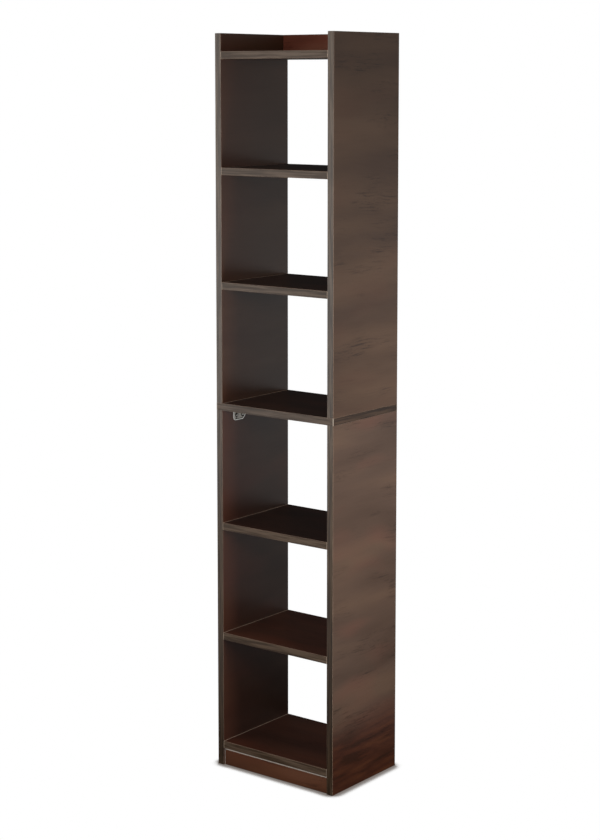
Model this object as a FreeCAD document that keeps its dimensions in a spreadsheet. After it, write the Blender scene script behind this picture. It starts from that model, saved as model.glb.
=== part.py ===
import FreeCAD, Part

import math
import os
import re

import Sketcher
from FreeCAD import Placement, Rotation, Vector

# An open, tall and narrow bookcase made of two towers of faced particle board, one on the other, with
# a board between them. The upper tower is the lower one turned over: the kick board at the bottom
# front becomes the rail at the top back. Cam locks, dowels, screws and angle brackets hold it.
#
# Frame: millimetres, +Z up, the front faces -Y. The origin is on the floor, under the case's middle.

SIZES = {
    # The case
    "overall_width": 355,
    "overall_depth": 258,
    "board_thickness": 18,
    "plinth_height": 43,
    "lowest_bay": 258,
    "second_bay": 258,
    "third_bay": 278,
    "fourth_bay": 278,
    "fifth_bay": 258,
    "top_bay": 258,
    "tray_height": 43,
    "kick_setback": 4,
    # The edging strips
    "edging_thickness": 1,
    "edging_bevel": 0.6,
    # The cam locks: the bolt screws into the side, and the cam in the shelf draws its head in
    "cam_setback": 37,
    "cam_distance": 34,
    "cam_diameter": 15,
    "cam_height": 12.5,
    "cam_bore_depth": 13.5,
    "jaw_reach": 3.4,
    "slot_clearance": 0.3,
    "driver_slot_width": 1.6,
    "driver_slot_length": 8,
    "driver_slot_depth": 2.5,
    "bolt_diameter": 5,
    "bolt_thread_length": 10,
    "bolt_bore_diameter": 8,
    "bolt_head_diameter": 7,
    "bolt_head_length": 2.8,
    # The dowels, and the empty end of each blind hole
    "dowel_diameter": 8,
    "dowel_length": 30,
    "dowel_face_depth": 12,
    "dowel_pitch": 32,
    "end_dowel_spacing": 20,
    "bore_spare": 2,
    # The long screws through the middle board
    "long_screw_length": 50,
    "long_screw_head": 10,
    "long_screw_shank": 7,
    "long_screw_core": 5,
    # The angle brackets under the middle board
    "bracket_length": 48,
    "bracket_leg": 31,
    "bracket_thickness": 2.2,
    "bracket_bend_radius": 2,
    "bracket_corner_radius": 7,
    "bracket_corner_cut": 12,
    "bracket_rim": 3,
    "bracket_field_depth": 0.8,
    "bracket_setback": 40,
    "bracket_hole_diameter": 4.2,
    "bracket_hole_inset": 13,
    "bracket_hole_spacing": 22,
    "bracket_hole_drop": 18,
    "small_screw_length": 14,
    "small_screw_core": 3,
    "small_screw_head": 7.4,
    "small_screw_crown": 5,
    "small_screw_head_height": 2.2,
}

# Small round things are drawn with flat sides, because there are hundreds of them: as many sides as
# the first figure inside the boards, and as the second where they are in sight.
HIDDEN_SIDES = 8
SEEN_SIDES = 12

LEFT, RIGHT = -1, 1
FRONT, REAR = -1, 1
SIDE_NAMES = {LEFT: "left", RIGHT: "right"}
END_NAMES = {FRONT: "front", REAR: "rear"}

INNER_HALF_WIDTH = "(overall_width / 2 - board_thickness)"
HALF_DEPTH = "(overall_depth / 2)"
SIDE_MIDDLE = "(overall_width / 2 - board_thickness / 2)"
CAM_LINE = f"({HALF_DEPTH} - cam_setback)"
JOINT_DOWEL_LINE = f"({CAM_LINE} - dowel_pitch)"
END_BORE_DEPTH = "(dowel_length - dowel_face_depth + bore_spare)"
FIELD_THICKNESS = "(bracket_thickness - bracket_field_depth)"
LONG_SCREW_CONE_LENGTH = "(long_screw_head - long_screw_shank) / 2"
LONG_SCREW_CONE = [("0", "long_screw_head"), (LONG_SCREW_CONE_LENGTH, "long_screw_shank")]

# Each tower is described from its outer end: the floor for the lower one, the top for the upper one.
LOWER = {
    "name": "lower",
    "end": "plinth_height",
    "bays": ("lowest_bay", "second_bay", "third_bay"),
    "shelves": ("bottom_shelf", "lower_shelf_1", "lower_shelf_2"),
    "end_board": "kick_board",
    "end_board_middle": f"(kick_setback + board_thickness / 2 - {HALF_DEPTH})",
}
UPPER = {
    "name": "upper",
    "end": "tray_height",
    "bays": ("top_bay", "fifth_bay", "fourth_bay"),
    "shelves": ("top_shelf", "upper_shelf_2", "upper_shelf_1"),
    "end_board": "top_back_rail",
    "end_board_middle": f"(board_thickness / 2 - {HALF_DEPTH})",
}


def outset(tower, count):
    """The distance from a tower's outer end to the near face of its shelf number count, from 0.

    One count past the last shelf it is the tower's own height.
    """
    parts = [tower["end"], *tower["bays"][:count]]
    if count:
        parts.append(f"{count} * board_thickness")
    return "(" + " + ".join(parts) + ")"


LOWER_HEIGHT = outset(LOWER, 3)
UPPER_HEIGHT = outset(UPPER, 3)
OVERALL_HEIGHT = f"({LOWER_HEIGHT} + board_thickness + {UPPER_HEIGHT})"

doc = FreeCAD.newDocument("Bookcase")
sheet = doc.addObject("Spreadsheet::Sheet", "Sizes")
for row, (name, number) in enumerate(SIZES.items(), start=1):
    sheet.set(f"A{row}", str(number))
    sheet.setAlias(f"A{row}", name)
doc.recompute()


# Expressions and placing


def bound(text):
    """The text as an expression on the sheet: each word in it is the alias of a cell."""
    return re.sub(r"[a-z_]+", lambda word: f"Sizes.{word[0]}", str(text))


def value(text):
    """What such an expression comes to, in millimetres."""
    return float(sheet.evalExpression(bound(text)))


def times(factor, text):
    """An expression times 1 or -1, for a piece on one side of the middle or the other."""
    return f"{factor} * {text}"


def place(piece, x="0", y="0", z="0", turn=Rotation()):
    """Turn a piece about its own origin and bind the origin's place to the sheet."""
    piece.Placement = Placement(Vector(), turn)
    for axis, text in zip("xyz", (x, y, z)):
        piece.setExpression(f"Placement.Base.{axis}", bound(text))


X_AXIS, Y_AXIS, Z_AXIS = Vector(1, 0, 0), Vector(0, 1, 0), Vector(0, 0, 1)
UPRIGHT = Rotation()
TURNED_OVER = Rotation(X_AXIS, 180)


# Sketches


def new_body(label):
    body = doc.addObject("PartDesign::Body", label)
    body.Label = label
    return body


def new_sketch(body, role, offset="0"):
    """A sketch on one of the body's origin planes, or at an offset along that plane's normal."""
    origin_plane = next(item for item in body.Origin.OriginFeatures if item.Role == role)
    sketch = body.newObject("Sketcher::SketchObject", "outline")
    sketch.AttachmentSupport = [(origin_plane, "")]
    sketch.MapMode = "FlatFace"
    sketch.setExpression("AttachmentOffset.Base.z", bound(offset))
    return sketch


def add_polygon(sketch, corners):
    """A closed run of straight lines through the corners, each given as two expressions.

    Every corner has two driving dimensions from the sketch's origin, which are bound to the sheet.
    """
    first = sketch.GeometryCount
    count = len(corners)
    rough = [(value(x), value(y)) for x, y in corners]
    points = [Vector(x, y, 0) for x, y in rough]
    sketch.addGeometry([Part.LineSegment(points[i], points[(i + 1) % count]) for i in range(count)])
    sketch.addConstraint([Sketcher.Constraint("Coincident", first + i, 2, first + (i + 1) % count, 1)
                          for i in range(count)])

    dimensions, texts = [], []
    for i, corner in enumerate(corners):
        for kind, start, text in zip(("DistanceX", "DistanceY"), rough[i], corner):
            dimensions.append(Sketcher.Constraint(kind, -1, 1, first + i, 1, start))
            texts.append(text)
    for number, text in zip(sketch.addConstraint(dimensions), texts):
        sketch.setExpression(f"Constraints[{number}]", bound(text))


def add_rectangle(sketch, low, high):
    (x0, y0), (x1, y1) = low, high
    add_polygon(sketch, [(x0, y0), (x1, y0), (x1, y1), (x0, y1)])


def add_rounds(sketch, centres, diameter, sides):
    """A regular polygon at each centre, with its corners on a circle of the given diameter."""
    for x, y in centres:
        corners = []
        for i in range(sides):
            angle = 2 * math.pi * i / sides
            across, up = (f"{part:.6f} * {diameter} / 2" for part in (math.cos(angle), math.sin(angle)))
            corners.append((f"({x}) + {across}", f"({y}) + {up}"))
        add_polygon(sketch, corners)


# Features


def add_feature(body, kind, label):
    return body.newObject(f"PartDesign::{kind}", label)


def finish_feature(body, feature):
    """Make a feature the body's newest, and make sure that it changed the solid."""
    before = body.Shape.Volume if not body.Shape.isNull() else 0
    body.Tip = feature
    doc.recompute()
    after = body.Shape.Volume
    if abs(after - before) < 1e-6:
        raise ValueError(f"{feature.Label} of {body.Label} changes nothing")
    return feature


def pad(body, sketch, length, backwards=False, symmetric=False):
    feature = add_feature(body, "Pad", "pad")
    feature.Profile = sketch
    feature.SideType = "Symmetric" if symmetric else "One side"
    feature.Reversed = backwards
    feature.setExpression("Length", bound(length))
    return finish_feature(body, feature)


def pocket(body, sketch, depth, backwards=False, symmetric=False):
    """Cut a sketch into the body, against the sketch's normal, or along it when backwards."""
    feature = add_feature(body, "Pocket", "pocket")
    feature.Profile = sketch
    feature.SideType = "Symmetric" if symmetric else "One side"
    feature.Reversed = backwards
    feature.setExpression("Length", bound(depth))
    return finish_feature(body, feature)


def drill(body, role, offset, centres, diameter, depth, backwards=False, sides=HIDDEN_SIDES):
    """Round holes, all alike, in one face of a piece."""
    sketch = new_sketch(body, role, offset)
    add_rounds(sketch, centres, diameter, sides)
    return pocket(body, sketch, depth, backwards)


def loft_rounds(body, kind, role, centres, ends, sides):
    """Cones between two offsets of a plane, added or cut by kind: ends has (offset, diameter) pairs."""
    sections = []
    for offset, diameter in ends:
        sketch = new_sketch(body, role, offset)
        add_rounds(sketch, centres, diameter, sides)
        sections.append(sketch)
    feature = add_feature(body, kind, "cone")
    feature.Profile = sections[0]
    feature.Sections = sections[1:]
    return finish_feature(body, feature)


def mirror(body, features, role):
    """Repeat features on the other side of one of the body's origin planes."""
    feature = add_feature(body, "Mirrored", "mirrored")
    feature.Originals = features
    mirror_plane = next(item for item in body.Origin.OriginFeatures if item.Role == role)
    feature.MirrorPlane = (mirror_plane, [""])
    return finish_feature(body, feature)


def add_step(body, start, length, diameter, sides=HIDDEN_SIDES):
    """One step of a fastener: a round bar along +X from where it starts."""
    sketch = new_sketch(body, "YZ_Plane", start)
    add_rounds(sketch, [("0", "0")], diameter, sides)
    return pad(body, sketch, length)


def edge_names(shape, wanted):
    """The names of a shape's straight edges that pass a test of their middle and direction."""
    names = []
    for number, edge in enumerate(shape.Edges, start=1):
        if edge.Curve.TypeId != "Part::GeomLine":
            continue
        direction = edge.tangentAt(edge.FirstParameter)
        if wanted(edge.CenterOfMass, direction):
            names.append(f"Edge{number}")
    return names


def is_along(direction, axis):
    return abs(direction.dot(axis)) > 0.999


def is_at(first, second):
    return abs(first - second) < 1e-4


def round_edges(body, wanted, radius):
    base = body.Tip
    feature = add_feature(body, "Fillet", "fillet")
    feature.Base = (base, edge_names(base.Shape, wanted))
    feature.setExpression("Radius", bound(radius))
    return finish_feature(body, feature)


def cut_edges(body, wanted, size):
    base = body.Tip
    feature = add_feature(body, "Chamfer", "chamfer")
    feature.Base = (base, edge_names(base.Shape, wanted))
    feature.setExpression("Size", bound(size))
    return finish_feature(body, feature)


# The side panels: four alike, but for their hand and for what is drilled into their inner ends.
# Drawn upright from the outer end, with the outer face on the YZ plane and the front at -Y.


def inner_end_bores(body, tower, middle):
    """The holes in the end grain that meets the middle board."""
    end = outset(tower, 3)
    if tower is LOWER:
        centres = [(middle, times(edge, JOINT_DOWEL_LINE)) for edge in (FRONT, REAR)]
        drill(body, "XY_Plane", end, centres, "dowel_diameter", END_BORE_DEPTH)
    else:
        screw_depth = "long_screw_length - board_thickness + bore_spare"
        centres = [(middle, times(edge, CAM_LINE)) for edge in (FRONT, REAR)]
        drill(body, "XY_Plane", end, centres, "long_screw_core", screw_depth)
        drill(body, "XY_Plane", end, [(middle, "0")], "dowel_diameter", END_BORE_DEPTH)


def bracket_hole_line(end, index):
    """How far from the middle of the depth a bracket's hole number index is, 0 or 1."""
    inset = f"bracket_setback + bracket_hole_inset + {index} * bracket_hole_spacing"
    return times(-end, f"({inset} - {HALF_DEPTH})")


def side_panel(tower, side):
    body = new_body(f"{tower['name']}_{SIDE_NAMES[side]}_side")
    inward = -side
    length = outset(tower, 3)
    half_core = f"({HALF_DEPTH} - edging_thickness)"
    sketch = new_sketch(body, "YZ_Plane")
    add_rectangle(sketch, (f"-{half_core}", "edging_thickness"), (half_core, length))
    pad(body, sketch, "board_thickness", backwards=inward < 0)

    inner_face = times(inward, "board_thickness")
    levels = [f"({outset(tower, n)} + board_thickness / 2)" for n in range(3)]
    bolts = [(times(edge, CAM_LINE), level) for level in levels for edge in (FRONT, REAR)]
    drill(body, "YZ_Plane", inner_face, bolts, "bolt_diameter",
          "bolt_thread_length + bore_spare", backwards=inward < 0)

    dowels = [("0", level) for level in levels]
    for step in (-1, 1):
        height = f"({tower['end']} / 2 + {step} * end_dowel_spacing / 2)"
        dowels.append((tower["end_board_middle"], height))
    drill(body, "YZ_Plane", inner_face, dowels, "dowel_diameter", "dowel_face_depth",
          backwards=inward < 0)

    inner_end_bores(body, tower, times(inward, "board_thickness / 2"))
    if tower is LOWER:
        screws = [(bracket_hole_line(end, index), f"{length} - bracket_hole_drop")
                  for end in (FRONT, REAR) for index in (0, 1)]
        drill(body, "YZ_Plane", inner_face, screws, "small_screw_core",
              f"small_screw_length - {FIELD_THICKNESS} + bore_spare", backwards=inward < 0)
    place_in_tower(body, tower, x=times(side, "overall_width / 2"))
    return body


def place_in_tower(piece, tower, x="0", y="0"):
    """Stand a piece that is drawn from the tower's outer end: the upper ones are turned over."""
    if tower is LOWER:
        place(piece, x, y, "0", UPRIGHT)
    else:
        place(piece, x, y, OVERALL_HEIGHT, TURNED_OVER)


# The edging: strips of plastic on the boards' edges, with the long outer corners of each bevelled.


def edging_strips(label, role, profiles, length, outward, symmetric=False):
    """Strips with rectangular sections on one plane, run out along its normal, corners bevelled.

    outward is a test of a point: whether it lies on the strips' outer faces.
    """
    body = new_body(label)
    sketch = new_sketch(body, role)
    for low, high in profiles:
        add_rectangle(sketch, low, high)
    pad(body, sketch, length, symmetric=symmetric)
    normal = {"XY_Plane": Z_AXIS, "XZ_Plane": Y_AXIS, "YZ_Plane": X_AXIS}[role]
    cut_edges(body, lambda middle, way: is_along(way, normal) and outward(middle),
              "edging_bevel")
    return body


def on_front_or_back(point):
    return is_at(abs(point.y), value(HALF_DEPTH))


def front_and_back_profiles(low, high, lengthwise):
    """The sections of the front and back strips, between two bounds across the board.

    lengthwise tells which coordinate of the sketch runs from front to back: 0 or 1.
    """
    profiles = []
    for edge in (FRONT, REAR):
        outer = times(edge, HALF_DEPTH)
        inner = times(edge, f"({HALF_DEPTH} - edging_thickness)")
        corners = ((low, outer), (high, inner))
        if lengthwise == 0:
            corners = tuple((y, x) for x, y in corners)
        profiles.append(corners)
    return profiles


def side_panel_edging(tower, side):
    """The long strips run the whole height, and the end strip lies between them."""
    name = f"{tower['name']}_{SIDE_NAMES[side]}_side"
    faces = ("0", times(-side, "board_thickness"))
    x = times(side, "overall_width / 2")
    long_strips = edging_strips(
        f"{name}_edging", "XY_Plane", front_and_back_profiles(*faces, lengthwise=1),
        outset(tower, 3), on_front_or_back)
    end_strip = edging_strips(
        f"{name}_end_edging", "XZ_Plane", [((faces[0], "0"), (faces[1], "edging_thickness"))],
        "overall_depth - 2 * edging_thickness", lambda point: is_at(point.z, 0), symmetric=True)
    for strip in (long_strips, end_strip):
        place_in_tower(strip, tower, x)
    return [long_strips, end_strip]


def shelf_edging(label, length):
    profiles = front_and_back_profiles("0", "board_thickness", lengthwise=0)
    return edging_strips(label, "YZ_Plane", profiles, length, on_front_or_back, symmetric=True)


# The shelves: six alike, drawn from the middle of the underside. The cams are let in from below.


def shelf(label, height):
    body = new_body(label)
    half_core = f"({HALF_DEPTH} - edging_thickness)"
    sketch = new_sketch(body, "XY_Plane")
    low = (f"-{INNER_HALF_WIDTH}", f"-{half_core}")
    add_rectangle(sketch, low, (INNER_HALF_WIDTH, half_core))
    pad(body, sketch, "board_thickness")

    cam_x = f"(cam_distance - {INNER_HALF_WIDTH})"
    cams = [(cam_x, times(edge, CAM_LINE)) for edge in (FRONT, REAR)]
    cam_bores = drill(body, "XY_Plane", "0", cams, "cam_diameter", "cam_bore_depth",
                      backwards=True, sides=SEEN_SIDES)
    bolts = [(times(edge, CAM_LINE), "board_thickness / 2") for edge in (FRONT, REAR)]
    bolt_bores = drill(body, "YZ_Plane", f"-{INNER_HALF_WIDTH}", bolts, "bolt_bore_diameter",
                       "cam_distance", backwards=True)
    dowel_bore = drill(body, "YZ_Plane", f"-{INNER_HALF_WIDTH}", [("0", "board_thickness / 2")],
                       "dowel_diameter", END_BORE_DEPTH, backwards=True)
    mirror(body, [cam_bores, bolt_bores, dowel_bore], "YZ_Plane")

    edging = shelf_edging(f"{label}_edging", f"2 * {INNER_HALF_WIDTH}")
    for piece in (body, edging):
        place(piece, z=height)
    return [body, edging]


# The kick board and the rail: the same piece, turned over, doweled between the side panels. It is
# drawn from its outer end, with its front face at -Y, and only the edge at that end is edged.


def end_board(tower):
    body = new_body(tower["end_board"])
    half_thickness = "board_thickness / 2"
    sketch = new_sketch(body, "XY_Plane", "edging_thickness")
    low = (f"-{INNER_HALF_WIDTH}", f"-{half_thickness}")
    add_rectangle(sketch, low, (INNER_HALF_WIDTH, half_thickness))
    pad(body, sketch, f"{tower['end']} - edging_thickness")

    centres = [("0", f"({tower['end']} / 2 + {step} * end_dowel_spacing / 2)") for step in (-1, 1)]
    bores = drill(body, "YZ_Plane", f"-{INNER_HALF_WIDTH}", centres, "dowel_diameter",
                  END_BORE_DEPTH, backwards=True)
    mirror(body, [bores], "YZ_Plane")

    low = (f"-{half_thickness}", "0")
    edging = edging_strips(
        f"{tower['end_board']}_edging", "YZ_Plane", [(low, (half_thickness, "edging_thickness"))],
        f"2 * {INNER_HALF_WIDTH}", lambda point: is_at(point.z, 0), symmetric=True)
    middle = tower["end_board_middle"]
    if tower is UPPER:
        middle = times(-1, middle)
    for piece in (body, edging):
        place_in_tower(piece, tower, y=middle)
    return [body, edging]


# The middle board: the base of the upper tower, as wide as the whole case, edged all round. The
# lower tower's dowels and the brackets come to its underside, and so do the long screws' heads.


def middle_board():
    body = new_body("middle_board")
    half_width = "(overall_width / 2 - edging_thickness)"
    half_core = f"({HALF_DEPTH} - edging_thickness)"
    sketch = new_sketch(body, "XY_Plane")
    add_rectangle(sketch, (f"-{half_width}", f"-{half_core}"), (half_width, half_core))
    pad(body, sketch, "board_thickness")

    left_middle = times(LEFT, SIDE_MIDDLE)
    screw_lines = [(left_middle, times(edge, CAM_LINE)) for edge in (FRONT, REAR)]
    screw_holes = drill(body, "XY_Plane", "0", screw_lines, "long_screw_shank",
                        "board_thickness", backwards=True)
    countersinks = loft_rounds(body, "SubtractiveLoft", "XY_Plane", screw_lines,
                               LONG_SCREW_CONE, HIDDEN_SIDES)

    low_dowels = [(left_middle, times(edge, JOINT_DOWEL_LINE)) for edge in (FRONT, REAR)]
    low_bores = drill(body, "XY_Plane", "0", low_dowels, "dowel_diameter", "dowel_face_depth",
                      backwards=True)
    high_bore = drill(body, "XY_Plane", "board_thickness", [(left_middle, "0")],
                      "dowel_diameter", "dowel_face_depth")
    bracket_x = f"(bracket_hole_drop - {INNER_HALF_WIDTH})"
    screws = [(bracket_x, bracket_hole_line(end, index))
              for end in (FRONT, REAR) for index in (0, 1)]
    bracket_bores = drill(body, "XY_Plane", "0", screws, "small_screw_core",
                          f"small_screw_length - {FIELD_THICKNESS} + bore_spare", backwards=True)
    bores = [screw_holes, countersinks, low_bores, high_bore, bracket_bores]
    mirror(body, bores, "YZ_Plane")

    long_strips = shelf_edging("middle_board_edging", "overall_width")
    end_profiles = []
    for side in (LEFT, RIGHT):
        outer = times(side, "overall_width / 2")
        inner = times(side, "(overall_width / 2 - edging_thickness)")
        end_profiles.append(((outer, "0"), (inner, "board_thickness")))
    end_strips = edging_strips(
        "middle_board_end_edging", "XZ_Plane", end_profiles,
        "overall_depth - 2 * edging_thickness",
        lambda point: is_at(abs(point.x), value("overall_width / 2")), symmetric=True)
    for piece in (body, long_strips, end_strips):
        place(piece, z=LOWER_HEIGHT)
    return [body, long_strips, end_strips]


# The fasteners: each is drawn once, along +X from the face that it stands on, and its copies are
# links to that body. Threads are drawn as plain cores, as wide as the holes that they bite in.


def dowel_body():
    """A dowel from the bottom of its hole in a face."""
    body = new_body("dowel")
    add_step(body, "0", "dowel_length", "dowel_diameter")
    return body


def cam_bolt_body():
    """A cam bolt from the side panel's face: its shank both ways, and a head against the jaw."""
    body = new_body("cam_bolt")
    head_back = "(cam_distance - jaw_reach)"
    add_step(body, "-bolt_thread_length", f"{head_back} + bolt_thread_length", "bolt_diameter")
    add_step(body, head_back, "bolt_head_length", "bolt_head_diameter")
    return body


def cam_lock_body():
    """A cam, locked: drawn on its driver face, with the bolt coming in from -X.

    The head came into the channel by the mouth at +X, and the half turn that locked the cam took
    the shank along the slot, half way round the wall, until the head bore on the jaw.
    """
    body = new_body("cam_lock")
    barrel = new_sketch(body, "XY_Plane")
    add_rounds(barrel, [("0", "0")], "cam_diameter", SEEN_SIDES)
    pad(body, barrel, "cam_height")

    axis = "board_thickness / 2"
    half_channel = "(bolt_head_diameter / 2 + slot_clearance)"
    channel = new_sketch(body, "XY_Plane", "cam_height")
    add_rectangle(channel, ("-jaw_reach", f"-{half_channel}"), ("cam_diameter", half_channel))
    pocket(body, channel, f"cam_height - {axis} + {half_channel}")

    half_slot = "(bolt_diameter / 2 + slot_clearance)"
    slot = new_sketch(body, "XY_Plane", axis)
    add_rectangle(slot, ("-cam_diameter", f"-{half_slot}"), ("cam_diameter", "cam_diameter"))
    pocket(body, slot, f"2 * {half_slot}", symmetric=True)

    driver = new_sketch(body, "XY_Plane")
    length, width = "driver_slot_length / 2", "driver_slot_width / 2"
    add_polygon(driver, [
        (f"-{length}", f"-{width}"), (f"-{width}", f"-{width}"), (f"-{width}", f"-{length}"),
        (width, f"-{length}"), (width, f"-{width}"), (length, f"-{width}"),
        (length, width), (width, width), (width, length),
        (f"-{width}", length), (f"-{width}", width), (f"-{length}", width)])
    pocket(body, driver, "driver_slot_depth", backwards=True)
    return body


def long_screw_body():
    """A countersunk screw from its head's face: head, plain shank through the board, core."""
    body = new_body("long_screw")
    loft_rounds(body, "AdditiveLoft", "YZ_Plane", [("0", "0")], LONG_SCREW_CONE, HIDDEN_SIDES)
    add_step(body, LONG_SCREW_CONE_LENGTH, f"board_thickness - {LONG_SCREW_CONE_LENGTH}",
             "long_screw_shank")
    add_step(body, "board_thickness", "long_screw_length - board_thickness", "long_screw_core")
    return body


def small_screw_body():
    """A pan-head screw from the board's face under a bracket: head outwards, along +X."""
    body = new_body("small_screw")
    foot = f"{FIELD_THICKNESS} - small_screw_length"
    head_top = f"{FIELD_THICKNESS} + small_screw_head_height"
    add_step(body, foot, "small_screw_length", "small_screw_core")
    loft_rounds(body, "AdditiveLoft", "YZ_Plane", [("0", "0")],
                [(FIELD_THICKNESS, "small_screw_head"), (head_top, "small_screw_crown")],
                SEEN_SIDES)
    return body


def group(label, master, places):
    """One node of separate solids: a link to the master body at each place, as place() takes it."""
    links = []
    for x, y, z, turn in places:
        link = doc.addObject("App::Link", f"{label}_link")
        link.LinkedObject = master
        place(link, x, y, z, turn)
        links.append(link)
    node = doc.addObject("Part::Compound", label)
    node.Label = label
    node.Links = links
    return node


def facing_inward(side):
    """The turn that points +X from a side panel towards the middle of the case."""
    return UPRIGHT if side == LEFT else Rotation(Z_AXIS, 180)


POINTING_DOWN = Rotation(Y_AXIS, 90)
POINTING_UP = Rotation(Y_AXIS, -90)


def shelf_height(tower, number):
    """The height of a shelf's underside above the floor."""
    if tower is LOWER:
        return outset(tower, number)
    return f"({OVERALL_HEIGHT} - {outset(tower, number)} - board_thickness)"


def tower_fasteners(tower, cam_bolt, cam_lock, dowel):
    """A tower's cam bolts, cam locks and dowels, for its three shelves and its end board."""
    bolts, locks, dowels = [], [], []
    for side in (LEFT, RIGHT):
        turn = facing_inward(side)
        face = times(side, INNER_HALF_WIDTH)
        dowel_foot = times(side, f"({INNER_HALF_WIDTH} + dowel_face_depth)")
        cam_x = times(side, f"({INNER_HALF_WIDTH} - cam_distance)")
        for number in range(3):
            underside = shelf_height(tower, number)
            middle = f"({underside} + board_thickness / 2)"
            dowels.append((dowel_foot, "0", middle, turn))
            for edge in (FRONT, REAR):
                y = times(edge, CAM_LINE)
                bolts.append((face, y, middle, turn))
                locks.append((cam_x, y, underside, turn))
        for step in (-1, 1):
            height = f"({tower['end']} / 2 + {step} * end_dowel_spacing / 2)"
            y = tower["end_board_middle"]
            if tower is UPPER:
                height = f"({OVERALL_HEIGHT} - {height})"
                y = times(-1, y)
            dowels.append((dowel_foot, y, height, turn))
    name = tower["name"]
    return [group(f"{name}_cam_bolts", cam_bolt, bolts),
            group(f"{name}_cam_locks", cam_lock, locks),
            group(f"{name}_dowels", dowel, dowels)]


def joint_fasteners(dowel, long_screw):
    """What goes through and into the middle board: locating dowels below, screws and dowels above."""
    dowels, screws = [], []
    for side in (LEFT, RIGHT):
        x = times(side, SIDE_MIDDLE)
        top = f"({LOWER_HEIGHT} + board_thickness)"
        dowels.append((x, "0", f"{top} - dowel_face_depth", POINTING_UP))
        for edge in (FRONT, REAR):
            low = f"{LOWER_HEIGHT} + dowel_face_depth"
            dowels.append((x, times(edge, JOINT_DOWEL_LINE), low, POINTING_DOWN))
            screws.append((x, times(edge, CAM_LINE), LOWER_HEIGHT, POINTING_UP))
    return [group("joint_dowels", dowel, dowels), group("joint_screws", long_screw, screws)]


# The angle brackets: pressed from sheet, with the middle of each leg pressed back so that a rim
# stands round it. One shape serves all four corners, because its two legs are alike. Drawn with the
# bend's outer corner along Y from the origin, one leg down the side panel and one along +X.


def leg_field(length_line, reach):
    """The pressed field's corners on a leg: along the bend, and away from it by reach's sign."""
    near = f"{reach} * (bracket_thickness + bracket_bend_radius)"
    far = f"{reach} * (bracket_leg - bracket_rim)"
    cut = "bracket_corner_cut"
    start, end = "bracket_rim", f"({length_line} - bracket_rim)"
    return [(start, near), (end, near), (end, f"{reach} * (bracket_leg - bracket_rim - {cut})"),
            (f"{end} - {cut}", far), (start, far)]


def angle_bracket(side, end):
    body = new_body(f"{END_NAMES[end]}_{SIDE_NAMES[side]}_bracket")
    sketch = new_sketch(body, "XZ_Plane")
    sheet_edge, leg = "bracket_thickness", "bracket_leg"
    add_polygon(sketch, [
        ("0", "0"), ("0", f"-{leg}"), (sheet_edge, f"-{leg}"), (sheet_edge, f"-{sheet_edge}"),
        (leg, f"-{sheet_edge}"), (leg, "0")])
    pad(body, sketch, "bracket_length", backwards=True)

    thickness, reach, length = value(sheet_edge), value(leg), value("bracket_length")
    round_edges(body, lambda middle, way: is_along(way, Y_AXIS) and is_at(middle.x, thickness)
                and is_at(middle.z, -thickness), "bracket_bend_radius")
    round_edges(body, lambda middle, way: is_along(way, Y_AXIS) and is_at(middle.x, 0)
                and is_at(middle.z, 0), "bracket_bend_radius + bracket_thickness")

    def free_corner(y):
        return lambda middle, way: not is_along(way, Y_AXIS) and is_at(middle.y, y) and (
            is_at(middle.x, reach) or is_at(middle.z, -reach)) and (
            is_along(way, X_AXIS) == is_at(middle.z, -reach))

    round_edges(body, free_corner(0), "bracket_corner_radius")
    cut_edges(body, free_corner(length), "bracket_corner_cut")

    side_field = new_sketch(body, "YZ_Plane", sheet_edge)
    add_polygon(side_field, leg_field("bracket_length", -1))
    pocket(body, side_field, "bracket_field_depth")
    board_field = new_sketch(body, "XY_Plane", f"-{sheet_edge}")
    add_polygon(board_field, [(x, y) for y, x in leg_field("bracket_length", 1)])
    pocket(body, board_field, "bracket_field_depth", backwards=True)

    along = [f"bracket_hole_inset + {index} * bracket_hole_spacing" for index in (0, 1)]
    drill(body, "YZ_Plane", sheet_edge, [(y, "-bracket_hole_drop") for y in along],
          "bracket_hole_diameter", sheet_edge)
    drill(body, "XY_Plane", f"-{sheet_edge}", [("bracket_hole_drop", y) for y in along],
          "bracket_hole_diameter", sheet_edge, backwards=True)

    turn = Rotation(Z_AXIS, 180) if end == REAR else UPRIGHT
    if side * end == -1:
        turn = turn.multiply(Rotation(Y_AXIS, 90))
    y = times(end, f"({HALF_DEPTH} - bracket_setback)")
    place(body, times(side, INNER_HALF_WIDTH), y, LOWER_HEIGHT, turn)
    return body


def bracket_screws(small_screw):
    places = []
    for side in (LEFT, RIGHT):
        for end in (FRONT, REAR):
            for index in (0, 1):
                y = bracket_hole_line(end, index)
                places.append((times(side, INNER_HALF_WIDTH), y,
                               f"{LOWER_HEIGHT} - bracket_hole_drop", facing_inward(side)))
                places.append((times(side, f"({INNER_HALF_WIDTH} - bracket_hole_drop)"), y,
                               LOWER_HEIGHT, POINTING_DOWN))
    return group("bracket_screws", small_screw, places)


# The whole case


def build():
    nodes = []
    cam_bolt, cam_lock, dowel = cam_bolt_body(), cam_lock_body(), dowel_body()
    for tower in (LOWER, UPPER):
        for side in (LEFT, RIGHT):
            nodes.append(side_panel(tower, side))
            nodes += side_panel_edging(tower, side)
        for number, label in enumerate(tower["shelves"]):
            nodes += shelf(label, shelf_height(tower, number))
        nodes += end_board(tower)
        nodes += tower_fasteners(tower, cam_bolt, cam_lock, dowel)
    nodes += middle_board()
    nodes += joint_fasteners(dowel, long_screw_body())
    nodes += [angle_bracket(side, end) for side in (LEFT, RIGHT) for end in (FRONT, REAR)]
    nodes.append(bracket_screws(small_screw_body()))
    return nodes


nodes = build()
doc.recompute()

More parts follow.
